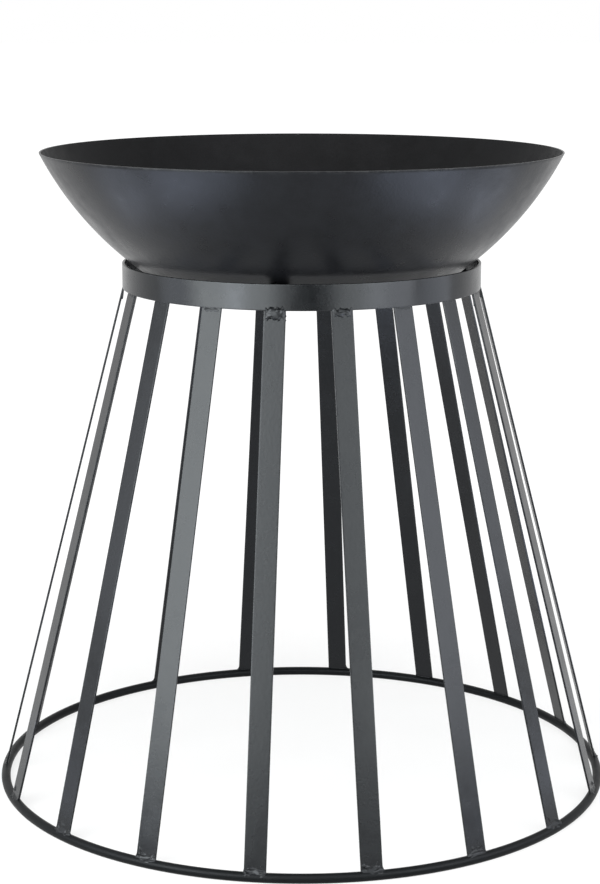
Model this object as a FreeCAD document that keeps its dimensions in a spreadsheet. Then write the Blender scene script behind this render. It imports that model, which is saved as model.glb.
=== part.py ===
"""Fire bowl: a spun steel bowl that drops into a flared stand of welded flat bars.

Millimetres. The origin is on the ground under the middle of the stand, +Z is up,
and the front of the object faces -Y.
"""

import FreeCAD, Part
import math
import os

import Sketcher

# Driving dimensions. Each one can be set by itself.
SIZES = {
    # Stand: flat bar hoop, leaning slats and round bar foot
    "stand_height": 514.0,
    "band_outer_radius": 173.0,
    "band_thickness": 2.5,
    "band_height": 24.0,
    "band_edge_radius": 0.5,
    "slat_count": 18,
    "slat_width": 20.0,
    "slat_thickness": 2.0,
    "slat_edge_radius": 0.4,
    "slat_cope_depth": 1.0,
    "foot_ring_radius": 297.0,
    "foot_bar_diameter": 9.0,
    # Rests: angled tabs of flat bar inside the hoop
    "rest_count": 3,
    "rest_width": 20.0,
    "rest_thickness": 2.0,
    "rest_bend_radius": 2.0,
    "rest_bearing_length": 22.0,
    "rest_top_drop": 2.0,
    # Bowl: spun sheet, sizes taken on its outside
    "rim_radius": 250.0,
    "bowl_height": 126.0,
    "bowl_sheet": 1.5,
    "bowl_wall_radius": 315.0,
    "bowl_corner_radius": 45.0,
    "bowl_base_drop": 20.0,
    # Clearances
    "bowl_band_gap": 7.0,
    "bowl_seat_gap": 0.2,
    "weld_root_gap": 0.2,
    # Weld beads: a round-ended bead laid across each end of a slat
    "head_weld_half_length": 11.0,
    "head_weld_radius": 4.0,
    "head_weld_bite": 0.5,
    "foot_weld_half_length": 13.0,
    "foot_weld_radius": 4.0,
    "foot_weld_lift": 0.5,
}

FULL_TURN = 360.0
HALF_TURN = 180.0
FRONT_ANGLE = -90.0

# Levels and radii that several pieces share, as expressions on the sheet
BAND_INNER_RADIUS = "(Sizes.band_outer_radius - Sizes.band_thickness)"
BAND_BOTTOM = "(Sizes.stand_height - Sizes.band_height)"
SLAT_TOP = "(Sizes.stand_height - Sizes.band_height - Sizes.weld_root_gap)"
SLAT_PITCH = "(360 / Sizes.slat_count)"
BASE_LEVEL = "(Sizes.stand_height - Sizes.bowl_base_drop)"
RIM_LEVEL = "(Sizes.stand_height - Sizes.bowl_base_drop + Sizes.bowl_height)"

doc = FreeCAD.newDocument("fire_bowl")


def make_sheet():
    """Put every driving dimension in a named cell of the sheet."""
    sheet = doc.addObject("Spreadsheet::Sheet", "Sizes")
    for row, (name, value) in enumerate(SIZES.items(), start=1):
        sheet.set(f"A{row}", name)
        sheet.set(f"B{row}", str(value))
        sheet.setAlias(f"B{row}", name)
    doc.recompute()
    return sheet


def origin_feature(body, role):
    """The body's own origin plane or axis with this role."""
    for feature in body.Origin.OriginFeatures:
        if feature.Role == role:
            return feature
    raise ValueError(f"{body.Label} has no {role}")


def new_body(label):
    """An empty body whose label is the piece's name."""
    body = doc.addObject("PartDesign::Body", label)
    body.Label = label
    return body


def new_sketch(body, role, name):
    """A sketch on one of the body's origin planes. On XZ, sketch x is the radius and y the height."""
    sketch = body.newObject("Sketcher::SketchObject", name)
    sketch.AttachmentSupport = [(origin_feature(body, role), "")]
    sketch.MapMode = "FlatFace"
    return sketch


def dimension(sketch, name, expression, *constraint):
    """Add a named dimension to a sketch and bind it to the sheet."""
    index = sketch.addConstraint(Sketcher.Constraint(*constraint))
    sketch.renameConstraint(index, name)
    sketch.setExpression(f"Constraints.{name}", expression)


def place_point(sketch, name, geometry, end, radius, height):
    """Give one end of a sketch line or arc its radius from the axis and its height."""
    drawn = sketch.getPoint(geometry, end)
    dimension(sketch, f"{name}_radius", radius, "DistanceX", -1, 1, geometry, end, drawn.x)
    dimension(sketch, f"{name}_height", height, "DistanceY", -1, 1, geometry, end, drawn.y)


def closed_outline(sketch, points):
    """Draw straight lines through the points and join them end to end."""
    count = len(points)
    for index in range(count):
        start = FreeCAD.Vector(*points[index], 0)
        end = FreeCAD.Vector(*points[(index + 1) % count], 0)
        sketch.addGeometry(Part.LineSegment(start, end), False)
    for index in range(count):
        sketch.addConstraint(Sketcher.Constraint("Coincident", index, 2, (index + 1) % count, 1))


def revolve(body, kind, sketch, name):
    """Turn a sketch of a radial section a whole turn round the upright axis."""
    feature = body.newObject(f"PartDesign::{kind}", name)
    feature.Profile = sketch
    feature.ReferenceAxis = (sketch, ["V_Axis"])
    feature.Angle = FULL_TURN
    return feature


def extrude_both_ways(body, kind, sketch, name, width):
    """Extrude a sketch by equal amounts to both sides of its plane."""
    feature = body.newObject(f"PartDesign::{kind}", name)
    feature.Profile = sketch
    feature.SideType = "Symmetric"
    feature.setExpression("Length", width)
    return feature


def turn_about_axis(body, angle):
    """Turn a finished piece round the stand's upright axis."""
    body.Placement = FreeCAD.Placement(FreeCAD.Vector(), FreeCAD.Rotation(FreeCAD.Vector(0, 0, 1), 1.0))
    body.setExpression("Placement.Rotation.Angle", angle)


def slat_angle(index):
    """Slats stand half a pitch either side of the front, and at equal pitch from there."""
    return f"{FRONT_ANGLE} + {index + 0.5} * {SLAT_PITCH}"


def draw_slat_side(sketch):
    """Side view of a slat: a leaning strip, cut level under the band and just below the bar's crown."""
    top = SIZES["stand_height"] - SIZES["band_height"]
    thickness = SIZES["slat_thickness"]
    closed_outline(sketch, [
        (SIZES["band_outer_radius"], top),
        (SIZES["foot_ring_radius"] + thickness, SIZES["foot_bar_diameter"]),
        (SIZES["foot_ring_radius"], SIZES["foot_bar_diameter"]),
        (SIZES["band_outer_radius"] - thickness, top),
    ])
    outer_face, foot_end, inner_face, head_end = range(4)
    sketch.addConstraint(Sketcher.Constraint("Horizontal", foot_end))
    sketch.addConstraint(Sketcher.Constraint("Horizontal", head_end))
    sketch.addConstraint(Sketcher.Constraint("Parallel", outer_face, inner_face))
    place_point(sketch, "head", outer_face, 1, "Sizes.band_outer_radius", SLAT_TOP)
    place_point(sketch, "foot", outer_face, 2, "Sizes.foot_ring_radius + Sizes.slat_thickness / 2",
                "Sizes.foot_bar_diameter - Sizes.slat_cope_depth")
    dimension(sketch, "thickness", "Sizes.slat_thickness", "Distance", inner_face, 1, outer_face, thickness)


def draw_foot_bar(sketch, radius):
    """Section of the foot ring's round bar, at the radius given."""
    bar_radius = SIZES["foot_bar_diameter"] / 2
    middle = FreeCAD.Vector(SIZES["foot_ring_radius"], bar_radius, 0)
    sketch.addGeometry(Part.Circle(middle, FreeCAD.Vector(0, 0, 1), bar_radius), False)
    place_point(sketch, "middle", 0, 3, "Sizes.foot_ring_radius", "Sizes.foot_bar_diameter / 2")
    dimension(sketch, "bar_radius", radius, "Radius", 0, bar_radius)


def draw_band_section(sketch):
    """Section of the hoop: a flat bar standing on edge."""
    outer = SIZES["band_outer_radius"]
    inner = outer - SIZES["band_thickness"]
    top = SIZES["stand_height"]
    bottom = top - SIZES["band_height"]
    closed_outline(sketch, [(inner, bottom), (outer, bottom), (outer, top), (inner, top)])
    lower_edge, outer_face, upper_edge, inner_face = range(4)
    for line in (lower_edge, upper_edge):
        sketch.addConstraint(Sketcher.Constraint("Horizontal", line))
    for line in (outer_face, inner_face):
        sketch.addConstraint(Sketcher.Constraint("Vertical", line))
    place_point(sketch, "lower_inner", lower_edge, 1, BAND_INNER_RADIUS, BAND_BOTTOM)
    place_point(sketch, "upper_outer", outer_face, 2, "Sizes.band_outer_radius", "Sizes.stand_height")


def make_top_band():
    """The hoop that the bowl drops into, with the rolled corners of flat bar."""
    body = new_body("top_band")
    section = new_sketch(body, "XZ_Plane", "band_section")
    draw_band_section(section)
    hoop = revolve(body, "Revolution", section, "band_hoop")
    doc.recompute()
    rounding = body.newObject("PartDesign::Fillet", "band_rounding")
    circles = [f"Edge{number}" for number, edge in enumerate(hoop.Shape.Edges, start=1)
               if edge.Curve.TypeId == "Part::GeomCircle"]
    rounding.Base = (hoop, circles)
    rounding.setExpression("Radius", "Sizes.band_edge_radius")
    return body


def make_slat(index):
    """One flat bar, butted under the band and coped to sit astride the round foot bar."""
    label = f"slat_{index + 1:02d}"
    body = new_body(label)
    side = new_sketch(body, "XZ_Plane", f"{label}_side")
    draw_slat_side(side)
    strip = extrude_both_ways(body, "Pad", side, f"{label}_strip", "Sizes.slat_width")
    doc.recompute()
    rounding = body.newObject("PartDesign::Fillet", f"{label}_rounding")
    long_edges = [f"Edge{number}" for number, edge in enumerate(strip.Shape.Edges, start=1)
                  if edge.Length > strip.Shape.BoundBox.ZLength / 2]
    rounding.Base = (strip, long_edges)
    rounding.setExpression("Radius", "Sizes.slat_edge_radius")
    bar = new_sketch(body, "XZ_Plane", f"{label}_bar")
    draw_foot_bar(bar, "Sizes.foot_bar_diameter / 2 + Sizes.weld_root_gap")
    revolve(body, "Groove", bar, f"{label}_cope")
    turn_about_axis(body, slat_angle(index))
    return body


def make_foot_ring():
    """The round bar hoop that stands on the ground."""
    ring = doc.addObject("Part::Torus", "foot_ring")
    ring.Label = "foot_ring"
    ring.setExpression("Radius1", "Sizes.foot_ring_radius")
    ring.setExpression("Radius2", "Sizes.foot_bar_diameter / 2")
    ring.setExpression("Placement.Base.z", "Sizes.foot_bar_diameter / 2")
    return ring


def draw_half_bead(sketch, size):
    """Upper half of a bead's long section: a straight run with a quarter round at each end."""
    length = SIZES[f"{size}_half_length"]
    radius = SIZES[f"{size}_radius"]
    straight = length - radius
    quarter = math.pi / 2
    normal = FreeCAD.Vector(0, 0, 1)

    def line(x_start, x_end, y):
        segment = Part.LineSegment(FreeCAD.Vector(x_start, y, 0), FreeCAD.Vector(x_end, y, 0))
        return sketch.addGeometry(segment, False)

    def round_end(x, start):
        circle = Part.Circle(FreeCAD.Vector(x, 0, 0), normal, radius)
        return sketch.addGeometry(Part.ArcOfCircle(circle, start, start + quarter), False)

    middle = line(-length, length, 0)
    right_end = round_end(straight, 0)
    crown = line(straight, -straight, radius)
    left_end = round_end(-straight, quarter)

    constrain = sketch.addConstraint
    constrain(Sketcher.Constraint("Coincident", middle, 2, right_end, 1))
    constrain(Sketcher.Constraint("Tangent", right_end, 2, crown, 1))
    constrain(Sketcher.Constraint("Tangent", crown, 2, left_end, 1))
    constrain(Sketcher.Constraint("Coincident", left_end, 2, middle, 1))
    constrain(Sketcher.Constraint("Horizontal", crown))
    for geometry, point in ((middle, 1), (middle, 2), (right_end, 3), (left_end, 3)):
        constrain(Sketcher.Constraint("PointOnObject", geometry, point, -1))
    half_length = f"Sizes.{size}_half_length"
    dimension(sketch, "right_length", half_length, "DistanceX", -1, 1, middle, 2, length)
    dimension(sketch, "left_length", half_length, "DistanceX", middle, 1, -1, 1, length)
    dimension(sketch, "bead_radius", f"Sizes.{size}_radius", "Radius", right_end, radius)


def lay_bead(body, size, radius, height, turn):
    """A bead across the slat that points along +X, turned about its own length from the top outwards."""
    outline = new_sketch(body, "YZ_Plane", f"{size}_outline")
    outline.setExpression("AttachmentOffset.Base.y", height)
    outline.setExpression("AttachmentOffset.Base.z", radius)
    draw_half_bead(outline, size)
    bead = body.newObject("PartDesign::Revolution", f"{size}_bead")
    bead.Profile = outline
    bead.ReferenceAxis = (outline, ["H_Axis"])
    bead.Angle = turn
    return bead


def finish_welds(body, label):
    """Take the slat out of the first bead, then repeat the bead at every slat."""
    side = new_sketch(body, "XZ_Plane", f"{label}_slat_side")
    draw_slat_side(side)
    first_bead = extrude_both_ways(body, "Pocket", side, f"{label}_slat_space", "Sizes.slat_width")
    body.AllowCompound = True
    repeat = body.newObject("PartDesign::PolarPattern", f"{label}_round_the_stand")
    repeat.BaseFeature = first_bead
    repeat.TransformMode = "Whole shape"
    repeat.Axis = (side, ["V_Axis"])
    repeat.Angle = FULL_TURN
    repeat.setExpression("Occurrences", "Sizes.slat_count")
    body.Tip = repeat
    turn_about_axis(body, slat_angle(0))


def make_head_welds():
    """The beads outside the joints between the slats' heads and the band's lower edge."""
    body = new_body("head_welds")
    lay_bead(body, "head_weld", "Sizes.band_outer_radius - Sizes.head_weld_bite", BAND_BOTTOM, HALF_TURN)
    section = new_sketch(body, "XZ_Plane", "head_weld_band_section")
    draw_band_section(section)
    revolve(body, "Groove", section, "head_weld_band_space")
    finish_welds(body, "head_weld")
    return body


def make_foot_welds():
    """The beads over the round bar that the slats' feet are sunk in."""
    body = new_body("foot_welds")
    crown = "Sizes.foot_bar_diameter + Sizes.foot_weld_lift"
    lay_bead(body, "foot_weld", "Sizes.foot_ring_radius", crown, FULL_TURN)
    bar = new_sketch(body, "XZ_Plane", "foot_weld_bar")
    draw_foot_bar(bar, "Sizes.foot_bar_diameter / 2")
    revolve(body, "Groove", bar, "foot_weld_bar_space")
    finish_welds(body, "foot_weld")
    return body


def wall_arc_middle(rim, band_point, radius):
    """Centre of the arc through two points, on the side of the bowl's inside."""
    chord = rim - band_point
    reach = math.sqrt(radius ** 2 - (chord.Length / 2) ** 2)
    inward = FreeCAD.Vector(-chord.y, chord.x, 0).normalize()
    return (rim + band_point) / 2 + inward * reach


def make_bowl():
    """The spun dish: a flat base, a rounded corner and a wall that is one long arc up to the rim."""
    body = new_body("bowl")
    sketch = new_sketch(body, "XZ_Plane", "bowl_section")

    sheet = SIZES["bowl_sheet"]
    wall = SIZES["bowl_wall_radius"]
    corner = SIZES["bowl_corner_radius"]
    base = SIZES["stand_height"] - SIZES["bowl_base_drop"]
    neck = SIZES["band_outer_radius"] - SIZES["band_thickness"] - SIZES["bowl_band_gap"]
    rim = FreeCAD.Vector(SIZES["rim_radius"], base + SIZES["bowl_height"], 0)
    neck_point = FreeCAD.Vector(neck, SIZES["stand_height"], 0)
    wall_middle = wall_arc_middle(rim, neck_point, wall)
    corner_height = base + corner
    flat = wall_middle.x + math.sqrt((wall - corner) ** 2 - (wall_middle.y - corner_height) ** 2)
    corner_middle = FreeCAD.Vector(flat, corner_height, 0)

    downward = -math.pi / 2
    rim_way = math.atan2(rim.y - wall_middle.y, rim.x - wall_middle.x)
    join_way = math.atan2(corner_middle.y - wall_middle.y, corner_middle.x - wall_middle.x)
    normal = FreeCAD.Vector(0, 0, 1)

    def line(x_start, y_start, x_end, y_end):
        segment = Part.LineSegment(FreeCAD.Vector(x_start, y_start, 0), FreeCAD.Vector(x_end, y_end, 0))
        return sketch.addGeometry(segment, False)

    def arc(middle, radius, start, end):
        return sketch.addGeometry(Part.ArcOfCircle(Part.Circle(middle, normal, radius), start, end), False)

    base_under = line(0, base, flat, base)
    corner_under = arc(corner_middle, corner, downward, join_way)
    wall_under = arc(wall_middle, wall, join_way, rim_way)
    rim_edge = line(rim.x, rim.y, rim.x - sheet, rim.y)
    wall_inside = arc(wall_middle, wall - sheet, join_way, rim_way)
    corner_inside = arc(corner_middle, corner - sheet, downward, join_way)
    base_inside = line(flat, base + sheet, 0, base + sheet)
    axis_edge = line(0, base + sheet, 0, base)

    constrain = sketch.addConstraint
    constrain(Sketcher.Constraint("Tangent", base_under, 2, corner_under, 1))
    constrain(Sketcher.Constraint("Tangent", corner_under, 2, wall_under, 1))
    constrain(Sketcher.Constraint("Coincident", wall_under, 2, rim_edge, 1))
    constrain(Sketcher.Constraint("Coincident", rim_edge, 2, wall_inside, 2))
    constrain(Sketcher.Constraint("Tangent", wall_inside, 1, corner_inside, 2))
    constrain(Sketcher.Constraint("Tangent", corner_inside, 1, base_inside, 1))
    constrain(Sketcher.Constraint("Coincident", base_inside, 2, axis_edge, 1))
    constrain(Sketcher.Constraint("Coincident", axis_edge, 2, base_under, 1))
    constrain(Sketcher.Constraint("Coincident", wall_inside, 3, wall_under, 3))
    constrain(Sketcher.Constraint("Coincident", corner_inside, 3, corner_under, 3))
    constrain(Sketcher.Constraint("Horizontal", base_under))
    constrain(Sketcher.Constraint("Horizontal", base_inside))
    constrain(Sketcher.Constraint("Horizontal", rim_edge))
    constrain(Sketcher.Constraint("PointOnObject", axis_edge, 1, -2))
    constrain(Sketcher.Constraint("PointOnObject", axis_edge, 2, -2))

    neck_mark = sketch.addGeometry(Part.Point(neck_point), True)
    constrain(Sketcher.Constraint("PointOnObject", neck_mark, 1, wall_under))
    place_point(sketch, "neck", neck_mark, 1, f"{BAND_INNER_RADIUS} - Sizes.bowl_band_gap", "Sizes.stand_height")
    place_point(sketch, "rim", wall_under, 2, "Sizes.rim_radius", RIM_LEVEL)
    dimension(sketch, "base_height", BASE_LEVEL, "DistanceY", -1, 1, base_under, 1, base)
    dimension(sketch, "wall_radius", "Sizes.bowl_wall_radius", "Radius", wall_under, wall)
    dimension(sketch, "corner_radius", "Sizes.bowl_corner_radius", "Radius", corner_under, corner)
    dimension(sketch, "sheet", "Sizes.bowl_sheet", "DistanceY", axis_edge, 2, axis_edge, 1, sheet)

    flat_radius = constrain(Sketcher.Constraint("DistanceX", base_under, 1, base_under, 2, flat))
    sketch.setDriving(flat_radius, False)
    sketch.renameConstraint(flat_radius, "flat_radius")

    revolve(body, "Revolution", sketch, "bowl_spinning")
    return body


def make_rest(index):
    """A bent tab of flat bar: one leg up the inside of the band, one leg in under the bowl's flat base."""
    label = f"bowl_rest_{index + 1}"
    body = new_body(label)
    side = new_sketch(body, "XZ_Plane", f"{label}_side")
    back = SIZES["band_outer_radius"] - SIZES["band_thickness"]
    thickness = SIZES["rest_thickness"]
    seat = SIZES["stand_height"] - SIZES["bowl_base_drop"]
    top = SIZES["stand_height"] - SIZES["rest_top_drop"]
    toe = back / 2
    closed_outline(side, [
        (back, top), (back - thickness, top), (back - thickness, seat),
        (toe, seat), (toe, seat - thickness), (back, seat - thickness),
    ])
    top_end, inner_face, seat_face, toe_end, under_face, back_face = range(6)
    for line in (top_end, seat_face, under_face):
        side.addConstraint(Sketcher.Constraint("Horizontal", line))
    for line in (inner_face, toe_end, back_face):
        side.addConstraint(Sketcher.Constraint("Vertical", line))
    chord = f"sqrt({BAND_INNER_RADIUS} ^ 2 - (Sizes.rest_width / 2) ^ 2)"
    place_point(side, "back_top", top_end, 1, f"{chord} - Sizes.weld_root_gap",
                "Sizes.stand_height - Sizes.rest_top_drop")
    place_point(side, "toe", toe_end, 1, "bowl_section.Constraints.flat_radius - Sizes.rest_bearing_length * 1 mm",
                f"{BASE_LEVEL} - Sizes.bowl_seat_gap")
    dimension(side, "leg_thickness", "Sizes.rest_thickness", "DistanceX", top_end, 2, top_end, 1, thickness)
    dimension(side, "seat_thickness", "Sizes.rest_thickness", "DistanceY", toe_end, 2, toe_end, 1, thickness)
    blank = extrude_both_ways(body, "Pad", side, f"{label}_blank", "Sizes.rest_width")
    doc.recompute()

    inner_bend = body.newObject("PartDesign::Fillet", f"{label}_inner_bend")
    inner_bend.Base = (blank, [edge_across(blank, inner_face_corner(blank, thickness))])
    inner_bend.setExpression("Radius", "Sizes.rest_bend_radius")
    doc.recompute()
    outer_bend = body.newObject("PartDesign::Fillet", f"{label}_outer_bend")
    box = inner_bend.Shape.BoundBox
    outer_bend.Base = (inner_bend, [edge_across(inner_bend, (box.XMax, box.ZMin))])
    outer_bend.setExpression("Radius", "Sizes.rest_bend_radius + Sizes.rest_thickness")

    slats_between = "floor(Sizes.slat_count / Sizes.rest_count)"
    turn_about_axis(body, f"{FRONT_ANGLE} + ({index} * {slats_between} - 0.5) * {SLAT_PITCH}")
    return body


def inner_face_corner(blank, thickness):
    """Radius and height of the inside corner of the bent tab."""
    box = blank.Shape.BoundBox
    return box.XMax - thickness, box.ZMin + thickness


def edge_across(feature, corner):
    """The edge that runs across the tab at this radius and height."""
    radius, height = corner
    tolerance = 1e-4
    for number, edge in enumerate(feature.Shape.Edges, start=1):
        box = edge.BoundBox
        along_y = box.YLength > tolerance and box.XLength < tolerance and box.ZLength < tolerance
        if along_y and abs(box.XMin - radius) < tolerance and abs(box.ZMin - height) < tolerance:
            return f"Edge{number}"
    raise ValueError(f"{feature.Label} has no edge at {corner}")


def check_document(pieces):
    """Stop unless every object is sound, every sketch is fixed, every cut removes something
    and every piece is a valid solid."""
    for item in doc.Objects:
        if "Invalid" in item.State or "Error" in item.State:
            raise RuntimeError(f"{item.Label} failed: {item.State}")
        if item.TypeId == "Sketcher::SketchObject" and not item.FullyConstrained:
            raise RuntimeError(f"{item.Label} can still be dragged")
        if item.TypeId in ("PartDesign::Groove", "PartDesign::Pocket"):
            if item.Shape.Volume >= item.BaseFeature.Shape.Volume:
                raise RuntimeError(f"{item.Label} cuts nothing")
    for piece in pieces:
        shape = piece.Shape
        if shape.isNull() or not shape.isValid() or not shape.Solids:
            raise RuntimeError(f"{piece.Label} is not a valid solid")


make_sheet()
bowl = make_bowl()
doc.recompute()
pieces = [bowl, make_top_band(), make_foot_ring()]
pieces += [make_slat(index) for index in range(int(SIZES["slat_count"]))]
pieces += [make_rest(index) for index in range(int(SIZES["rest_count"]))]
pieces += [make_head_welds(), make_foot_welds()]
doc.recompute()
check_document(pieces)

os.makedirs("parts", exist_ok=True)
for piece in pieces:
    print(piece.Label, len(piece.Shape.Solids), "solid(s)", round(piece.Shape.Volume), "mm3")
    piece.Shape.exportStep(f"parts/{piece.Label}.step")
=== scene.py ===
import math

import bpy
import numpy as np
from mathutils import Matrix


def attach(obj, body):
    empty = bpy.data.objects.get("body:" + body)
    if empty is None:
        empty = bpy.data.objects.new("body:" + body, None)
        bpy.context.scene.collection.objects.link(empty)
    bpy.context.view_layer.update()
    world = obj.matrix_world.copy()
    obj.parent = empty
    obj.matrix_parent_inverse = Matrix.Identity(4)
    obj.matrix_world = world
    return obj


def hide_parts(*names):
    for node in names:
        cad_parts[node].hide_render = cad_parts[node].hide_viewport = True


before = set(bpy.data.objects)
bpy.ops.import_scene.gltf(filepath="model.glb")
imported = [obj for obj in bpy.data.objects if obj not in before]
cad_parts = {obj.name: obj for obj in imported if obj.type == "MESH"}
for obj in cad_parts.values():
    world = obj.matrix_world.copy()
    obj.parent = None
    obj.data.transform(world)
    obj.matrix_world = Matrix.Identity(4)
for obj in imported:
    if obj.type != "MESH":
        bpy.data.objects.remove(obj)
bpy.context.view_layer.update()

# Foot ring: one 9 mm round steel bar rolled into a hoop 594 mm across its middle, with the ends butted.
# It lies on the ground on its underside, carries all the slats on its crown, and has a duller coat of
# the stand's satin, almost black stove paint.
MM = 0.001
RING_RADIUS = 297.0 * MM
RING_BAR_RADIUS = 4.5 * MM
RING_STEPS = 320
RING_BAR_STEPS = 24
SHARP_ANGLE = math.radians(40.0)
STAND_COLOUR = (0.0037, 0.0041, 0.0045)
STAND_TINT = (0.96, 0.99, 1.06)
# Lighter colour on edges and the rim: part worn paint, part a painted highlight line along them.
WORN_AND_GLINT_COLOUR = (0.022, 0.0225, 0.0235)
# Each noise of the paint is its scale per metre, its detail and the roughness of that detail.
CLOUD_NOISE = (14.0, 4.0, 0.5)
MOTTLE_NOISE = (60.0, 5.0, 0.6)
GRAIN_NOISE = (900.0, 2.0, 0.5)
RUB_AND_GLINT_NOISE = (160.0, 3.0, 0.65)
PEEL_NOISE = (380.0, 2.0, 0.5)
NOISE_SPAN = (0.3, 0.7)
CLOUD_SHADE = (0.86, 1.16)
MOTTLE_SHADE = (0.85, 1.18)
GRAIN_SHADE = (0.82, 1.18)
CLOUD_DULL = (-0.03, 0.04)
MOTTLE_DULL = (0.84, 1.18)
RUB_AND_GLINT_SPAN = (0.45, 0.72)
RUB_AND_GLINT_SHARE = (0.0, 0.7)


def skin(name, grids, ring, edge=0.0):
    """Turn a stack of point grids, shaped (count, rows, columns, 3), into one mesh of closed surfaces.

    Row i and column j join to row i + 1 and column j + 1. Columns close on themselves. Rows do too on
    a ring; otherwise each end row is shut by a fan of triangles round its middle point. The signed
    volume tells whether the faces point inwards, and turns them over if so. The edge array, 1 on rubbed
    edges, whose lighter paint is also a painted highlight, and 0 elsewhere, goes with the points as a
    float attribute. Creases above SHARP_ANGLE stay sharp.
    """
    count, rows, columns = grids.shape[:3]
    index = np.arange(count * rows * columns).reshape(count, rows, columns)
    here = index if ring else index[:, :-1]
    ahead = np.roll(index, -1, 1) if ring else index[:, 1:]
    quads = np.stack([here, np.roll(here, -1, 2), np.roll(ahead, -1, 2), ahead], -1).reshape(-1, 4)
    points = grids.reshape(-1, 3)
    fans = np.empty((0, 3), int)
    if not ring:
        ends = index[:, [0, -1]]
        hubs = len(points) + np.arange(2 * count).reshape(count, 2, 1) + 0 * ends
        fans = np.stack([hubs, np.roll(ends, -1, 2), ends], -1)
        fans[:, 1] = fans[:, 1, :, ::-1]
        fans = fans.reshape(-1, 3)
        points = np.concatenate([points, grids[:, [0, -1]].mean(2).reshape(-1, 3)])
    triangles = np.concatenate([quads[:, [0, 1, 2]], quads[:, [0, 2, 3]], fans])
    a, b, c = (points[triangles[:, corner]] for corner in range(3))
    if np.einsum("ij,ij->i", a, np.cross(b, c)).sum() < 0:
        quads = quads[:, ::-1]
        fans = fans[:, ::-1]
    mesh = bpy.data.meshes.new(name)
    mesh.from_pydata(points.tolist(), [], quads.tolist() + fans.tolist())
    mesh.polygons.foreach_set("use_smooth", np.ones(len(mesh.polygons), bool))
    marks = np.broadcast_to(edge, index.shape)
    wear_and_glint = np.concatenate([marks.ravel(), marks[:, [0, -1]].mean(2).ravel()])[:len(points)]
    mesh.attributes.new("edge", "FLOAT", "POINT").data.foreach_set("value", wear_and_glint.astype(np.float32))
    mesh.update()
    mesh.set_sharp_from_angle(angle=SHARP_ANGLE)
    return mesh


def piece(mesh, material, body, slot, *nodes):
    """Make an object of a finished mesh, paint it and seat it on its body in place of its CAD nodes."""
    made = bpy.data.objects.new(mesh.name, mesh)
    bpy.context.scene.collection.objects.link(made)
    mesh.materials.append(material)
    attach(made, body)
    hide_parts(*nodes)
    return made


def spin(section, steps):
    """Carry a section of (radius, height) points round the upright axis.

    At each turn t, a point stands at (radius cos t, radius sin t, height).
    """
    turn = np.linspace(0, 2 * np.pi, steps, endpoint=False)[:, None]
    radius, height = section[:, 0], section[:, 1]
    return np.stack([radius * np.cos(turn), radius * np.sin(turn), height + 0 * turn], -1)


def map_range(tree, value, span, target):
    """Stretch a value in a straight line, the ends of span to the ends of target, and hold it outside."""
    mapped = tree.nodes.new("ShaderNodeMapRange")
    for socket, number in zip(("From Min", "From Max", "To Min", "To Max"), (*span, *target)):
        mapped.inputs[socket].default_value = number
    tree.links.new(value, mapped.inputs["Value"])
    return mapped.outputs["Result"]


def combine(tree, operation, first, second):
    """Join two values by one step of arithmetic, such as MULTIPLY or MAXIMUM."""
    step = tree.nodes.new("ShaderNodeMath")
    step.operation = operation
    tree.links.new(first, step.inputs[0])
    tree.links.new(second, step.inputs[1])
    return step.outputs[0]


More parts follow.
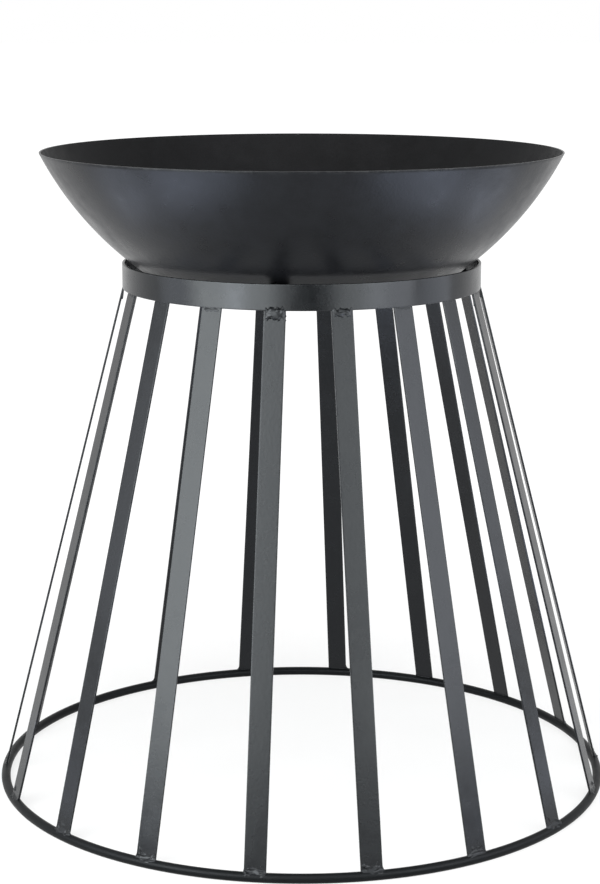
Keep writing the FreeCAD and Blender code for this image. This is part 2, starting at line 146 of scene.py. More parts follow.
def stove_paint(name, colour, roughness, specular, peel, gloss_tint=(1.0, 1.0, 1.0)):
    """Sprayed satin stove paint: a cloudy, finely grained film with orange peel, rubbed thin on edges.

    Colour is its plain value times three noises, roughness its plain value times two, and the lighter
    edge colour, part worn paint and part painted highlight, is the edge attribute times a noise of its
    own. Peel is the height of the bumps in the film.
    """
    material = bpy.data.materials.new(name)
    material.use_nodes = True
    tree = material.node_tree
    shader = tree.nodes["Principled BSDF"]
    shader.inputs["Specular IOR Level"].default_value = specular
    shader.inputs["Specular Tint"].default_value = (*gloss_tint, 1.0)
    where = tree.nodes.new("ShaderNodeTexCoord").outputs["Object"]

    def noise(scale, detail, detail_roughness):
        texture = tree.nodes.new("ShaderNodeTexNoise")
        texture.inputs["Scale"].default_value = scale
        texture.inputs["Detail"].default_value = detail
        texture.inputs["Roughness"].default_value = detail_roughness
        tree.links.new(where, texture.inputs["Vector"])
        return texture.outputs["Fac"]

    def spread(value, target):
        return map_range(tree, value, NOISE_SPAN, target)

    def times(first, second):
        return combine(tree, "MULTIPLY", first, second)

    cloud = noise(*CLOUD_NOISE)
    mottle = noise(*MOTTLE_NOISE)
    film = times(spread(cloud, CLOUD_SHADE), spread(noise(*GRAIN_NOISE), GRAIN_SHADE))
    film = times(film, spread(mottle, MOTTLE_SHADE))
    tint = tree.nodes.new("ShaderNodeMix")
    tint.data_type = "RGBA"
    tint.blend_type = "MULTIPLY"
    tint.inputs["Factor"].default_value = 1.0
    tint.inputs["A"].default_value = (*colour, 1.0)
    tree.links.new(film, tint.inputs["B"])

    # Lighter edge colour in patches: rubbed paint and a painted highlight line along the edges.
    edge = tree.nodes.new("ShaderNodeAttribute")
    edge.attribute_name = "edge"
    patches = map_range(tree, noise(*RUB_AND_GLINT_NOISE), RUB_AND_GLINT_SPAN, RUB_AND_GLINT_SHARE)
    wear_and_glint = tree.nodes.new("ShaderNodeMix")
    wear_and_glint.data_type = "RGBA"
    wear_and_glint.inputs["B"].default_value = (*WORN_AND_GLINT_COLOUR, 1.0)
    tree.links.new(times(edge.outputs["Fac"], patches), wear_and_glint.inputs["Factor"])
    tree.links.new(tint.outputs["Result"], wear_and_glint.inputs["A"])
    tree.links.new(wear_and_glint.outputs["Result"], shader.inputs["Base Color"])

    dull = spread(cloud, [roughness + change for change in CLOUD_DULL])
    tree.links.new(times(dull, spread(mottle, MOTTLE_DULL)), shader.inputs["Roughness"])

    bump = tree.nodes.new("ShaderNodeBump")
    bump.inputs["Strength"].default_value = 1.0
    bump.inputs["Distance"].default_value = peel
    tree.links.new(noise(*PEEL_NOISE), bump.inputs["Height"])
    tree.links.new(bump.outputs["Normal"], shader.inputs["Normal"])
    return material


ring_paint = stove_paint("ring_paint", STAND_COLOUR, roughness=0.42, specular=0.10, peel=0.03 * MM,
                         gloss_tint=STAND_TINT)
ring_turn = np.linspace(0, 2 * np.pi, RING_BAR_STEPS, endpoint=False)
ring_section = np.stack([RING_RADIUS + RING_BAR_RADIUS * np.cos(ring_turn),
                         RING_BAR_RADIUS * (1 + np.sin(ring_turn))], -1)
piece(skin("foot_ring_bar", spin(ring_section, RING_STEPS)[None], ring=True),
      ring_paint, "stand", "stand_paint", "foot_ring")

# Slats: eighteen lengths of 20 x 2 mm flat steel bar with slightly rounded mill edges, cut level at the
# head and sunk in weld at the foot. Each leans outwards by about 15 degrees, its outer face flush with
# the hoop at the top and over the middle of the round bar at the bottom.
BAND_OUTER = 173.0 * MM
BAND_BOTTOM = 490.0 * MM
SLAT_COUNT = 18
SLAT_WIDTH = 20.0 * MM
SLAT_THICKNESS = 2.0 * MM
SLAT_CORNER = 0.4 * MM
SLAT_HEAD_GAP = 0.1 * MM
SLAT_FOOT_SINK = 1.0 * MM
SLAT_HEAD = (BAND_OUTER, BAND_BOTTOM - SLAT_HEAD_GAP)
SLAT_FOOT = (RING_RADIUS + SLAT_THICKNESS / 2, 2 * RING_BAR_RADIUS - SLAT_FOOT_SINK)
SLAT_STEPS = 40
CORNER_STEPS = 5
EDGE_BAND = 0.9 * MM
slat_turns = -math.pi / 2 + (np.arange(SLAT_COUNT) + 0.5) * 2 * math.pi / SLAT_COUNT
stand_paint = stove_paint("stand_paint", STAND_COLOUR, roughness=0.25, specular=0.26, peel=0.07 * MM,
                          gloss_tint=STAND_TINT)


def bar_section(width, thickness, corner):
    """Outline of a flat bar: a quarter circle at each corner, with a point on the wide faces beside it.

    Returns (across, through) points and the edge value, 1 on the quarter circles and 0 on the faces.
    """
    quarter = np.linspace(0, np.pi / 2, CORNER_STEPS)
    arc = np.stack([width / 2 - corner + corner * np.cos(quarter),
                    thickness / 2 - corner + corner * np.sin(quarter)], -1)
    beside = np.array([[width / 2 - corner - EDGE_BAND, thickness / 2]])
    first = np.concatenate([arc, beside])
    second = (first * [-1, 1])[::-1]
    half = np.concatenate([first, second])
    marks = np.concatenate([np.ones(CORNER_STEPS), [0, 0], np.ones(CORNER_STEPS)])
    return np.concatenate([half, -half]), np.concatenate([marks, marks])


def slat_grid(turn):
    """A flat bar's section carried down the straight line from head to foot, then turned to its place.

    A point that lies t behind the outer face starts t tan(lean) further down, so that the head is level.
    """
    section, marks = bar_section(SLAT_WIDTH, SLAT_THICKNESS, SLAT_CORNER)
    fall = np.array([SLAT_FOOT[0] - SLAT_HEAD[0], SLAT_FOOT[1] - SLAT_HEAD[1]])
    length = np.hypot(*fall)
    down = fall / length
    outward = np.array([-down[1], down[0]])
    depth = section[:, 1] - SLAT_THICKNESS / 2
    along = np.linspace(0, 1, SLAT_STEPS)[:, None]
    run = depth * outward[1] / -down[1] * (1 - along) + length * along
    radius = SLAT_HEAD[0] + run * down[0] + depth * outward[0]
    height = SLAT_HEAD[1] + run * down[1] + depth * outward[1]
    side = section[:, 0] + 0 * run
    x = radius * np.cos(turn) - side * np.sin(turn)
    y = radius * np.sin(turn) + side * np.cos(turn)
    return np.stack([x, y, height], -1), marks


for number, turn in enumerate(slat_turns, start=1):
    grid, marks = slat_grid(turn)
    piece(skin(f"slat_bar_{number:02d}", grid[None], ring=False, edge=marks),
          stand_paint, "stand", "stand_paint", f"slat_{number:02d}")

# Foot welds: arc weld run round the foot of each slat where it stands on the round bar. It flares out to
# the bar, climbs a few millimetres up the slat in rough ridges, is left as laid and is painted over.
WELD_ROWS = 44
WELD_COLUMNS = 96
WELD_SEED = 11
WELD_CORE = 0.7 * MM
RIDGE_REACH = 0.9
RIDGE_SLOPE = 1.2
RIDGE_LENGTH = (1.2 * MM, 4.0 * MM)
RIDGE_CREST = (-0.5, 1.0)
FOOT_WELD_SINK = 0.6 * MM
FOOT_WELD_PLACE = (RING_RADIUS, 2 * RING_BAR_RADIUS - FOOT_WELD_SINK)
FOOT_WELD_SPAN = (-4.5 * MM, 12.0 * MM)
FOOT_WELD_HALF_WIDTH = 9.7 * MM
FOOT_WELD_FLARE = (-0.5 * MM, 3.4 * MM)
FOOT_WELD_FLARE_RISE = 2.4 * MM
FOOT_WELD_THROAT = 2.5 * MM
FOOT_WELD_TOE = -3.0 * MM
FOOT_WELD_CLIMB = 3.3 * MM
FOOT_WELD_RIDGES = 20
FOOT_WELD_RIDGE_LEVELS = (-2.5 * MM, 8.0 * MM)
FOOT_WELD_RIDGE = 1.25 * MM
FOOT_WELD_RIDGE_BREADTH = (0.5 * MM, 1.3 * MM)
weld_random = np.random.default_rng(WELD_SEED)
weld_paint = stove_paint("weld_paint", STAND_COLOUR, roughness=0.37, specular=0.26, peel=0.05 * MM,
                         gloss_tint=STAND_TINT)


def weld_ovals(up, left, right):
    """Flat ovals set one above another up the slat, for a stack of welds.

    Round each oval, across is the half width times the square root of |cos t|, and front is the square
    root of |sin t|, each with its sign kept. The half width differs left and right.
    """
    around = np.linspace(0, 2 * np.pi, WELD_COLUMNS, endpoint=False)
    cosine = np.cos(around)
    sine = np.sin(around)
    half_width = np.where(cosine > 0, right[..., None], left[..., None])
    across = half_width * np.sign(cosine) * np.sqrt(np.abs(cosine))
    return across, np.sign(sine) * np.sqrt(np.abs(sine)), up[:, None] + 0 * across


def rough_ridges(across, height, ridges, levels, rise, breadths):
    """Rough weld metal: short ridges at random places and slopes, added up.

    Each one is h exp(-(p / length)^2 - (q / breadth)^2), with p and q measured along and across it.
    """
    each = (len(across), ridges, 1, 1)
    from_middle = across[:, None] - weld_random.uniform(-RIDGE_REACH, RIDGE_REACH, each) * across.max()
    above_middle = height[:, None] - weld_random.uniform(*levels, each)
    slope = weld_random.uniform(-RIDGE_SLOPE, RIDGE_SLOPE, each)
    length = weld_random.uniform(*RIDGE_LENGTH, each)
    breadth = weld_random.uniform(*breadths, each)
    along_ridge = from_middle * np.cos(slope) + above_middle * np.sin(slope)
    across_ridge = above_middle * np.cos(slope) - from_middle * np.sin(slope)
    crest = weld_random.uniform(*RIDGE_CREST, each) * rise[:, None, None, None]
    return (crest * np.exp(-(along_ridge / length) ** 2 - (across_ridge / breadth) ** 2)).sum(1)


def place_welds(across, outward, up, radius, height, tilt):
    """Set one weld of the stack on each slat, leant back by the tilt and turned to its place.

    No point goes further out than the foot ring's widest line.
    """
    out = np.minimum(radius + outward * np.cos(tilt) - up * np.sin(tilt), RING_RADIUS + RING_BAR_RADIUS)
    turn = slat_turns[:, None, None]
    return np.stack([out * np.cos(turn) - across * np.sin(turn), out * np.sin(turn) + across * np.cos(turn),
                     height + outward * np.sin(tilt) + up * np.cos(tilt)], -1)


slat_lean = math.atan2(SLAT_FOOT[0] - SLAT_HEAD[0], SLAT_HEAD[1] - SLAT_FOOT[1])
foot_up = np.linspace(*FOOT_WELD_SPAN, WELD_ROWS)
foot_spread = np.exp(-np.clip(foot_up, 0, None) / FOOT_WELD_FLARE_RISE)
foot_width = FOOT_WELD_HALF_WIDTH + weld_random.uniform(*FOOT_WELD_FLARE, (2, SLAT_COUNT, 1)) * foot_spread
foot_across, foot_front, foot_height = weld_ovals(foot_up, *foot_width)
foot_throat = FOOT_WELD_THROAT * np.exp(-((foot_height - FOOT_WELD_TOE) / FOOT_WELD_CLIMB) ** 2)
foot_rough = rough_ridges(foot_across, foot_height, FOOT_WELD_RIDGES, FOOT_WELD_RIDGE_LEVELS,
                          np.full(SLAT_COUNT, FOOT_WELD_RIDGE), FOOT_WELD_RIDGE_BREADTH)
foot_outward = (WELD_CORE + foot_throat) * foot_front + foot_rough * np.clip(foot_front, 0, None)
foot_grids = place_welds(foot_across, foot_outward, foot_height, *FOOT_WELD_PLACE, slat_lean)
piece(skin("foot_weld_beads", foot_grids, ring=False), weld_paint, "stand", "weld_paint", "foot_welds")

# Top band: a 24 x 2.5 mm flat bar rolled on edge into a hoop of 346 mm, which the bowl hangs in.
# Its lower edge sits on the slats' heads and its mill corners are slightly rounded.
BAND_THICKNESS = 2.5 * MM
BAND_HEIGHT = 24.0 * MM
BAND_TOP = BAND_BOTTOM + BAND_HEIGHT
BAND_CORNER = 0.5 * MM
BAND_STEPS = 288
band_bar, band_marks = bar_section(BAND_HEIGHT, BAND_THICKNESS, BAND_CORNER)
band_section = np.stack([BAND_OUTER - BAND_THICKNESS / 2 + band_bar[:, 1],
                         BAND_TOP - BAND_HEIGHT / 2 + band_bar[:, 0]], -1)
piece(skin("hoop_bar", spin(band_section, BAND_STEPS)[None], ring=True, edge=band_marks),
      stand_paint, "stand", "stand_paint", "top_band")

# Head welds: short runs of arc weld that join each slat's head to the band's lower edge from outside.
# Two at the front are proud, spattered lumps, the others are nearly flush, and all are painted over.
HEAD_WELD_DROP = 0.5 * MM
HEAD_WELD_PLACE = (BAND_OUTER - SLAT_THICKNESS / 2, BAND_BOTTOM - HEAD_WELD_DROP)
HEAD_WELD_SPAN = (-11.0 * MM, 6.5 * MM)
HEAD_WELD_HALF_WIDTH = 9.0 * MM
HEAD_WELD_SPREAD = 0.9 * MM
HEAD_WELD_SEAT = 1.0 * MM
HEAD_WELD_SINK = 0.35 * MM
HEAD_WELD_SWELL = 2.1 * MM
HEAD_WELD_SQUARENESS = 4
HEAD_WELD_FLUSH = (0.2, 0.3)
HEAD_WELD_PROUD = {18: 1.1, 1: 0.75, 17: 0.36, 2: 0.32}
# Lip, brow and jag are each the value of a flush weld and what a weld that is proud by 1 adds to it.
HEAD_WELD_LIP = (-1.0 * MM, -6.0 * MM)
HEAD_WELD_BROW = (1.5 * MM, 2.5 * MM)
HEAD_WELD_JAG = (0.8 * MM, 1.3 * MM)
HEAD_WELD_JAG_PITCH = np.array([9.0, 5.3, 3.7]) * MM
HEAD_WELD_LIP_EASE = 1.5 * MM
HEAD_WELD_BROW_EASE = 3.6 * MM
HEAD_WELD_RIDGES = 20
HEAD_WELD_RIDGE = 1.2 * MM
HEAD_WELD_RIDGE_BREADTH = (0.8 * MM, 1.8 * MM)
head_proud = weld_random.uniform(*HEAD_WELD_FLUSH, SLAT_COUNT)
head_proud[np.array(list(HEAD_WELD_PROUD)) - 1] = list(HEAD_WELD_PROUD.values())


def jagged(along):
    """A ragged line for each weld: the mean of three sine waves of falling pitch and random phase."""
    waves = (len(HEAD_WELD_JAG_PITCH), SLAT_COUNT) + (1,) * (along.ndim - 1)
    pitch = HEAD_WELD_JAG_PITCH.reshape((-1,) + (1,) * along.ndim)
    return np.sin(2 * np.pi * along / pitch + weld_random.uniform(0, 2 * np.pi, waves)).mean(0)


def eased(value, length):
    """0 below nought, 1 above length, and the curve 3 t^2 - 2 t^3 between them."""
    part = np.clip(value / length, 0, 1)
    return part * part * (3 - 2 * part)


head_up = np.linspace(*HEAD_WELD_SPAN, WELD_ROWS)
head_rows = head_up + np.zeros((SLAT_COUNT, 1))
head_left = HEAD_WELD_HALF_WIDTH + HEAD_WELD_SPREAD * head_proud[:, None] * jagged(head_rows)
head_right = HEAD_WELD_HALF_WIDTH + HEAD_WELD_SPREAD * head_proud[:, None] * (1 + jagged(head_rows))
head_across, head_front, head_height = weld_ovals(head_up, head_left, head_right)
head_scale = head_proud[:, None, None]
head_jag = HEAD_WELD_JAG[0] + HEAD_WELD_JAG[1] * head_scale
head_lip = HEAD_WELD_LIP[0] + HEAD_WELD_LIP[1] * head_scale + head_jag * jagged(head_across)
head_brow = HEAD_WELD_BROW[0] + HEAD_WELD_BROW[1] * head_scale + head_jag * jagged(head_across)
head_bounds = (eased(head_height - head_lip, HEAD_WELD_LIP_EASE)
               * eased(head_brow - head_height, HEAD_WELD_BROW_EASE))
head_rough = rough_ridges(head_across, head_height, HEAD_WELD_RIDGES, HEAD_WELD_SPAN,
                          HEAD_WELD_RIDGE * head_proud, HEAD_WELD_RIDGE_BREADTH)
head_crown = 1 - (head_across / head_across.max()) ** HEAD_WELD_SQUARENESS
head_swell = (HEAD_WELD_SWELL * head_scale * head_crown + head_rough) * head_bounds
head_seat = HEAD_WELD_SEAT + np.abs(head_height) * math.tan(slat_lean / 2) - HEAD_WELD_SINK
head_outward = np.where(head_front > 0, head_seat + head_swell, WELD_CORE) * head_front
head_grids = place_welds(head_across, head_outward, head_height, *HEAD_WELD_PLACE, slat_lean / 2)
piece(skin("head_weld_beads", head_grids, ring=False), weld_paint, "stand", "weld_paint", "head_welds")

# Bowl rests: three tabs of the slats' flat bar, bent to a right angle. The upright leg is welded inside
# the band behind every sixth slat, and the level leg reaches in under the bowl's flat base.
BASE_LEVEL = 494.0 * MM
REST_WELD_GAP = 0.5 * MM
REST_SEAT_GAP = 0.2 * MM
REST_DROP = 2.0 * MM
REST_BACK = BAND_OUTER - BAND_THICKNESS - REST_WELD_GAP
REST_TOP = BAND_TOP - REST_DROP
REST_SEAT = BASE_LEVEL - REST_SEAT_GAP
REST_TOE = 99.7 * MM
REST_BEND = 2.0 * MM
REST_SLATS = (18, 6, 12)
BEND_STEPS = 8
LEG_STEPS = 6


def rest_grid(turn):
    """The bar's section carried down a straight leg, round a quarter circle and along a level leg.

    The path is the bar's middle line; at each point the section lies across it and along its normal.
    """
    section, marks = bar_section(SLAT_WIDTH, SLAT_THICKNESS, SLAT_CORNER)
    bend = REST_BEND + SLAT_THICKNESS / 2
    middle_radius = REST_BACK - SLAT_THICKNESS / 2
    middle_height = REST_SEAT - SLAT_THICKNESS / 2
    swing = np.linspace(0, np.pi / 2, BEND_STEPS)
    upright = np.linspace(REST_TOP, middle_height + bend, LEG_STEPS)[:-1]
    level = np.linspace(middle_radius - bend, REST_TOE, LEG_STEPS)[1:]
    radius = np.concatenate([np.full(LEG_STEPS - 1, middle_radius),
                             middle_radius - bend + bend * np.cos(swing), level])
    height = np.concatenate([upright, middle_height + bend - bend * np.sin(swing),
                             np.full(LEG_STEPS - 1, middle_height)])
    way = np.concatenate([np.zeros(LEG_STEPS - 1), swing, np.full(LEG_STEPS - 1, np.pi / 2)])
    out = radius[:, None] + np.cos(way)[:, None] * section[:, 1]
    up = height[:, None] - np.sin(way)[:, None] * section[:, 1]
    side = section[:, 0] + 0 * out
    x = out * np.cos(turn) - side * np.sin(turn)
    y = out * np.sin(turn) + side * np.cos(turn)
    return np.stack([x, y, up], -1), marks


for number, slat in enumerate(REST_SLATS, start=1):
    grid, marks = rest_grid(slat_turns[slat - 1])
    piece(skin(f"rest_tab_{number}", grid[None], ring=False, edge=marks),
          stand_paint, "stand", "stand_paint", f"bowl_rest_{number}")

# Bowl: a dish spun from 1.5 mm sheet steel, with a flat base, a rounded corner and a wall that is one
# long arc up to a plain cut rim. It is loose in the stand and sprayed inside and out, and fires have
# dulled its inside with soot.
RIM_RADIUS = 250.0 * MM
RIM_LEVEL = 620.0 * MM
SHEET = 1.5 * MM
WALL_RADIUS = 315.0 * MM
CORNER_RADIUS = 45.0 * MM
NECK_RADIUS = 163.5 * MM
RIM_ROUNDING = 0.35 * MM
BASE_HUB = 0.06
BOWL_STEPS = 256
WALL_STEPS = 56
BOWL_CORNER_STEPS = 14
FLAT_STEPS = 7
RIM_STEPS = 5
BOWL_COLOUR = (0.0027, 0.0028, 0.0033)
BOWL_TINT = (0.95, 0.985, 1.06)
SOOT_COLOUR = (0.0100, 0.0100, 0.0107)


def dish_section():
    """Half section of the dish, from the middle of its underside out to the rim and back inside.

    The wall's arc passes through the rim and the neck point beside the band; its centre is the one on
    the bowl's side of that chord. The corner's arc touches the wall's arc and the level base. The inside
    is the same pair of arcs with radii one sheet smaller, and the rim is cut level, its corners eased.
    Returns the points, their edge values (1 on the rim) and 1 for each point of the inside, or 0.
    """
    rim = np.array([RIM_RADIUS, RIM_LEVEL])
    neck = np.array([NECK_RADIUS, BAND_TOP])
    chord = rim - neck
    half = np.hypot(*chord) / 2
    inward = np.array([-chord[1], chord[0]]) / (2 * half)
    wall_middle = (rim + neck) / 2 + inward * math.sqrt(WALL_RADIUS ** 2 - half ** 2)
    corner_level = BASE_LEVEL + CORNER_RADIUS
    reach = math.sqrt((WALL_RADIUS - CORNER_RADIUS) ** 2 - (wall_middle[1] - corner_level) ** 2)
    corner_middle = np.array([wall_middle[0] + reach, corner_level])
    join_way = math.atan2(corner_middle[1] - wall_middle[1], reach)

    def arc(middle, radius, start, end, steps):
        way = np.linspace(start, end, steps)
        return np.stack([middle[0] + radius * np.cos(way), middle[1] + radius * np.sin(way)], -1)

    def face(inset):
        """Base, corner and wall from the middle out to the rim, set in from the outer face by the inset."""
        flat = np.linspace(BASE_HUB, 1, FLAT_STEPS)[:-1] * corner_middle[0]
        base = np.stack([flat, np.full(FLAT_STEPS - 1, BASE_LEVEL + inset)], -1)
        corner = arc(corner_middle, CORNER_RADIUS - inset, -math.pi / 2, join_way, BOWL_CORNER_STEPS)
        radius = WALL_RADIUS - inset
        rim_way = math.asin((RIM_LEVEL - RIM_ROUNDING - wall_middle[1]) / radius)
        return np.concatenate([base, corner[:-1], arc(wall_middle, radius, join_way, rim_way, WALL_STEPS)])

    outside = face(0.0)
    inside = face(SHEET)[::-1]
    ease = np.linspace(0, np.pi / 2, RIM_STEPS)[1:]
    outer_ease = outside[-1] + RIM_ROUNDING * np.stack([np.cos(ease) - 1, np.sin(ease)], -1)
    inner_ease = (inside[0] + RIM_ROUNDING * np.stack([1 - np.cos(ease), np.sin(ease)], -1))[::-1]
    section = np.concatenate([outside, outer_ease, inner_ease, inside])
    marks = np.zeros(len(section))
    marks[len(outside) - 1:len(outside) + 2 * len(ease) + 1] = 1
    within = np.arange(len(section)) > len(outside) + 2 * len(ease)
    return section, marks, within.astype(float)


bowl_paint = stove_paint("bowl_paint", BOWL_COLOUR, roughness=0.31, specular=0.16, peel=0.09 * MM,
                         gloss_tint=BOWL_TINT)
soot_paint = stove_paint("soot_paint", SOOT_COLOUR, roughness=0.50, specular=0.06, peel=0.04 * MM)
bowl_section, bowl_marks, bowl_inside = dish_section()
bowl_grid = spin(bowl_section, BOWL_STEPS).transpose(1, 0, 2)
bowl_dish = piece(skin("bowl_dish", bowl_grid[None], ring=False, edge=bowl_marks[:, None]),
                  bowl_paint, "bowl", "bowl_paint", "bowl")
bowl_dish.data.materials.append(soot_paint)
# The faces come row by row, then the fan under the base and the fan inside it.
bowl_faces = np.repeat(np.concatenate([bowl_inside[1:], bowl_inside[[0, -1]]]), BOWL_STEPS)
bowl_dish.data.polygons.foreach_set("material_index", bowl_faces.astype(np.int32))

# Floor: a wide sheet of matt, pale studio paper that lies flat under the stand. To the camera and in
# reflections it glows white away from the object and a little less close by: painted shade round the
# stand, on top of its real soft shadow.
FLOOR_HALF = 30.0
FLOOR_COLOUR = (0.20, 0.20, 0.20, 1.0)
# The near glow is lower than the far one: painted shade on the floor round the stand.
FLOOR_GLOW = (0.77, 1.0)
FLOOR_GLOW_REACH = (0.3, 1.0)
WHITE = (1.0, 1.0, 1.0, 1.0)


def paper_sheet(name, corners, colour):
    """A flat sheet of matt paper with four corners, which belongs to the stage and not to the part."""
    mesh = bpy.data.meshes.new(name)
    mesh.from_pydata(corners.tolist(), [], [[0, 1, 2, 3]])
    sheet = bpy.data.objects.new(name, mesh)
    bpy.context.scene.collection.objects.link(sheet)
    paper = bpy.data.materials.new(f"{name}_paper")
    paper.use_nodes = True
    shader = paper.node_tree.nodes["Principled BSDF"]
    shader.inputs["Base Color"].default_value = colour
    shader.inputs["Roughness"].default_value = 1.0
    shader.inputs["Specular IOR Level"].default_value = 0.0
    mesh.materials.append(paper)
    return sheet


def seen_directly(tree):
    """1 for camera, glossy and transmission rays, which should all meet the same white surroundings."""
    rays = tree.nodes.new("ShaderNodeLightPath").outputs
    seen = combine(tree, "MAXIMUM", rays["Is Camera Ray"], rays["Is Glossy Ray"])
    return combine(tree, "MAXIMUM", seen, rays["Is Transmission Ray"])


floor_corners = np.array([[-1, -1, 0], [1, -1, 0], [1, 1, 0], [-1, 1, 0]]) * FLOOR_HALF
floor = paper_sheet("floor", floor_corners, FLOOR_COLOUR)
floor_tree = floor.active_material.node_tree
floor_shader = floor_tree.nodes["Principled BSDF"]
floor_shader.inputs["Emission Color"].default_value = WHITE
floor_place = floor_tree.nodes.new("ShaderNodeTexCoord")
floor_reach = floor_tree.nodes.new("ShaderNodeVectorMath")
floor_reach.operation = "LENGTH"
floor_tree.links.new(floor_place.outputs["Object"], floor_reach.inputs[0])
floor_glow_with_painted_shade = map_range(floor_tree, floor_reach.outputs["Value"], FLOOR_GLOW_REACH, FLOOR_GLOW)
floor_glow = combine(floor_tree, "MULTIPLY", seen_directly(floor_tree), floor_glow_with_painted_shade)
floor_tree.links.new(floor_glow, floor_shader.inputs["Emission Strength"])

# Surroundings: an even white studio on all sides, with no walls or seams. The camera and reflections meet
# it as full white, and it lights the object itself at half that strength.
WORLD_FILL = 0.50
world = bpy.data.worlds.new("studio")
bpy.context.scene.world = world
world.use_nodes = True
world_light = world.node_tree.nodes["Background"]
world_light.inputs["Color"].default_value = WHITE
world_strength = map_range(world.node_tree, seen_directly(world.node_tree), (0.0, 1.0), (WORLD_FILL, 1.0))
world.node_tree.links.new(world_strength, world_light.inputs["Strength"])

# Camera: at the photograph's place, 2.08 m from the bowl's axis and a little to the left of the front,
# looking slightly down through a lens that fills a 600 x 884 frame with the stand's foot ring.
IMAGE_HEIGHT = 884
FOCAL_PIXELS = 2162.73
SENSOR = 36.0
CAMERA_DISTANCE = 2.0812
CAMERA_HEIGHT = 0.7699
CAMERA_SIDE = -0.0016
CAMERA_TURN = math.radians(-2.0)
CAMERA_DIP = 0.2060
CAMERA_SIGHT = 200.0
camera_data = bpy.data.cameras.new("camera")
camera_data.sensor_fit = "VERTICAL"
camera_data.sensor_height = SENSOR
camera_data.lens = FOCAL_PIXELS / IMAGE_HEIGHT * SENSOR
camera_data.clip_end = CAMERA_SIGHT
camera = bpy.data.objects.new("camera", camera_data)
bpy.context.scene.collection.objects.link(camera)
camera.location = (CAMERA_DISTANCE * math.sin(CAMERA_TURN) + CAMERA_SIDE * math.cos(CAMERA_TURN),
                   -CAMERA_DISTANCE * math.cos(CAMERA_TURN) + CAMERA_SIDE * math.sin(CAMERA_TURN),
                   CAMERA_HEIGHT)
camera.rotation_euler = (math.pi / 2 - CAMERA_DIP, 0.0, CAMERA_TURN)
bpy.context.scene.camera = camera

# Lens card: a matt black card that stands upright behind the camera, as in a product studio. The front of
# the band mirrors it as the dark stretch between its two bright streaks, and the camera never sees it.
CARD_DEGREES = 6.5
CARD_DISTANCE = 2.2
CARD_WIDTH = 0.76
CARD_HEIGHT = 0.7
CARD_COLOUR = (0.004, 0.004, 0.004, 1.0)
card_way = math.radians(CARD_DEGREES) + CAMERA_TURN
card_foot = np.array([math.sin(card_way), -math.cos(card_way), 0.0]) * CARD_DISTANCE
card_side = np.array([math.cos(card_way), math.sin(card_way), 0.0]) * CARD_WIDTH / 2
card_rise = np.array([0.0, 0.0, CARD_HEIGHT])
card_corners = np.stack([card_foot - card_side, card_foot + card_side,
                         card_foot + card_side + card_rise, card_foot - card_side + card_rise])
card = paper_sheet("lens_card", card_corners, CARD_COLOUR)
card.visible_camera = False

# Studio lamps: a tall soft box stands on either side, the left one nearly twice as bright, with narrow
# strips from there to the camera and dim fills further back, for the streaks on the slats and the band.
# A broad panel hangs above the camera and one overhead, and four low panels on the floor light the bowl.
LAMP_COLOUR = (0.97, 0.995, 1.025)
STRIP_COLOUR = (0.97, 1.01, 0.97)
FILL_COLOUR = (0.93, 0.985, 1.08)
FLOOR_PANEL_COLOUR = (0.86, 0.96, 1.19)
FLOOR_PANEL_LEVEL = 0.01
LAMP_DISTANCE = 1.2
LAMP_TOP = 1.06
FRONT_PANEL_DIP = 0.45
OVERHEAD_TILT = 0.57


def soft_box(name, size, radiance, colour, place, turn):
    """A rectangular lamp, hidden from the camera; its power is the radiance times pi times its area."""
    lamp = bpy.data.lights.new(name, "AREA")
    lamp.shape = "RECTANGLE"
    lamp.size, lamp.size_y = size
    lamp.energy = radiance * math.pi * size[0] * size[1]
    lamp.color = colour
    box = bpy.data.objects.new(name, lamp)
    bpy.context.scene.collection.objects.link(box)
    box.location = place
    box.rotation_euler = turn
    box.visible_camera = False


def standing_box(name, degrees, width, bottom, radiance, colour):
    """An upright soft box on the lamp circle that faces the object and reaches up to LAMP_TOP.

    It stands that many degrees round the upright axis from the camera, to the right in the picture.
    """
    way = math.radians(degrees) + CAMERA_TURN
    place = (LAMP_DISTANCE * math.sin(way), -LAMP_DISTANCE * math.cos(way), (LAMP_TOP + bottom) / 2)
    soft_box(name, (width, LAMP_TOP - bottom), radiance, colour, place, (math.pi / 2, 0.0, way))


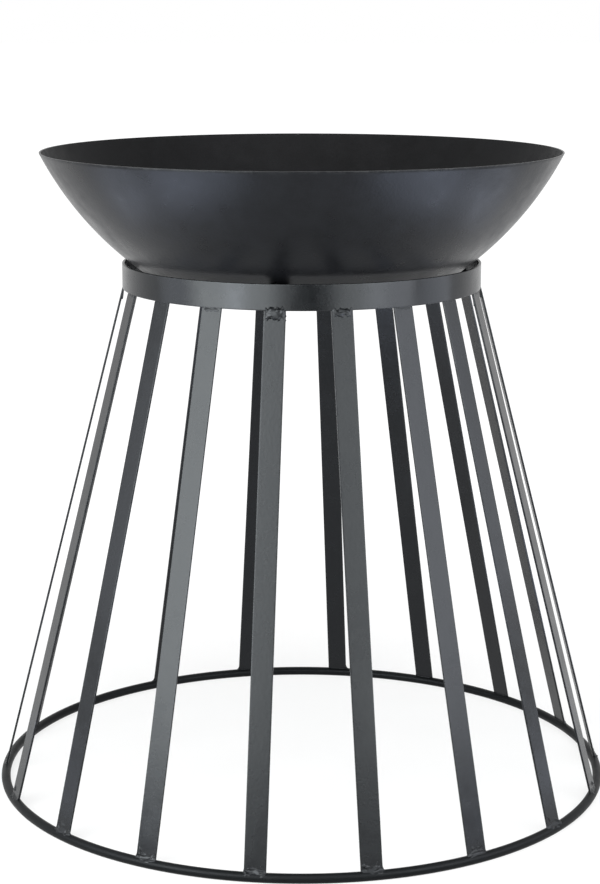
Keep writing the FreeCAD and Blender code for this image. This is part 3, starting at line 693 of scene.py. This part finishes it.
def floor_panel(name, size, radiance, x, y, turn):
    """A low soft box that lies on the floor, shines straight up and is turned on the spot."""
    soft_box(name, size, radiance, FLOOR_PANEL_COLOUR, (x, y, FLOOR_PANEL_LEVEL), (math.pi, 0.0, turn))


standing_box("left_box", degrees=-50.5, width=0.72, bottom=0.16, radiance=8.2, colour=STRIP_COLOUR)
standing_box("left_key_strip", degrees=-39.0, width=0.20, bottom=0.20, radiance=4.8, colour=FILL_COLOUR)
standing_box("left_strip", degrees=-24.5, width=0.38, bottom=0.20, radiance=6.9, colour=STRIP_COLOUR)
standing_box("left_edge_strip", degrees=-11.0, width=0.20, bottom=0.20, radiance=1.9, colour=STRIP_COLOUR)
standing_box("left_fill", degrees=-80.0, width=0.48, bottom=0.24, radiance=1.9, colour=FILL_COLOUR)
standing_box("right_box", degrees=53.5, width=0.72, bottom=0.16, radiance=4.5, colour=LAMP_COLOUR)
standing_box("right_key_strip", degrees=42.0, width=0.30, bottom=0.20, radiance=2.3, colour=STRIP_COLOUR)
standing_box("right_strip", degrees=27.0, width=0.36, bottom=0.20, radiance=4.0, colour=STRIP_COLOUR)
standing_box("right_fill", degrees=88.0, width=0.56, bottom=0.22, radiance=2.0, colour=FILL_COLOUR)
soft_box("front_panel", size=(1.6, 0.7), radiance=1.0, colour=LAMP_COLOUR,
         place=(0.0, -2.3, 1.45), turn=(math.pi / 2 - FRONT_PANEL_DIP, 0.0, 0.0))
soft_box("overhead_panel", size=(1.2, 1.2), radiance=2.0, colour=LAMP_COLOUR,
         place=(0.0, -1.2, 2.2), turn=(OVERHEAD_TILT, 0.0, 0.0))
floor_panel("left_floor_panel", size=(0.5, 0.54), radiance=4.2, x=-0.62, y=-0.45, turn=0.55)
floor_panel("right_floor_panel", size=(0.5, 0.54), radiance=4.2, x=0.64, y=-0.44, turn=-0.55)
floor_panel("left_rear_panel", size=(0.40, 0.34), radiance=2.5, x=-0.82, y=0.09, turn=0.0)
floor_panel("right_rear_panel", size=(0.40, 0.42), radiance=2.3, x=0.85, y=0.12, turn=0.0)

bpy.context.scene.view_settings.view_transform = "Standard"
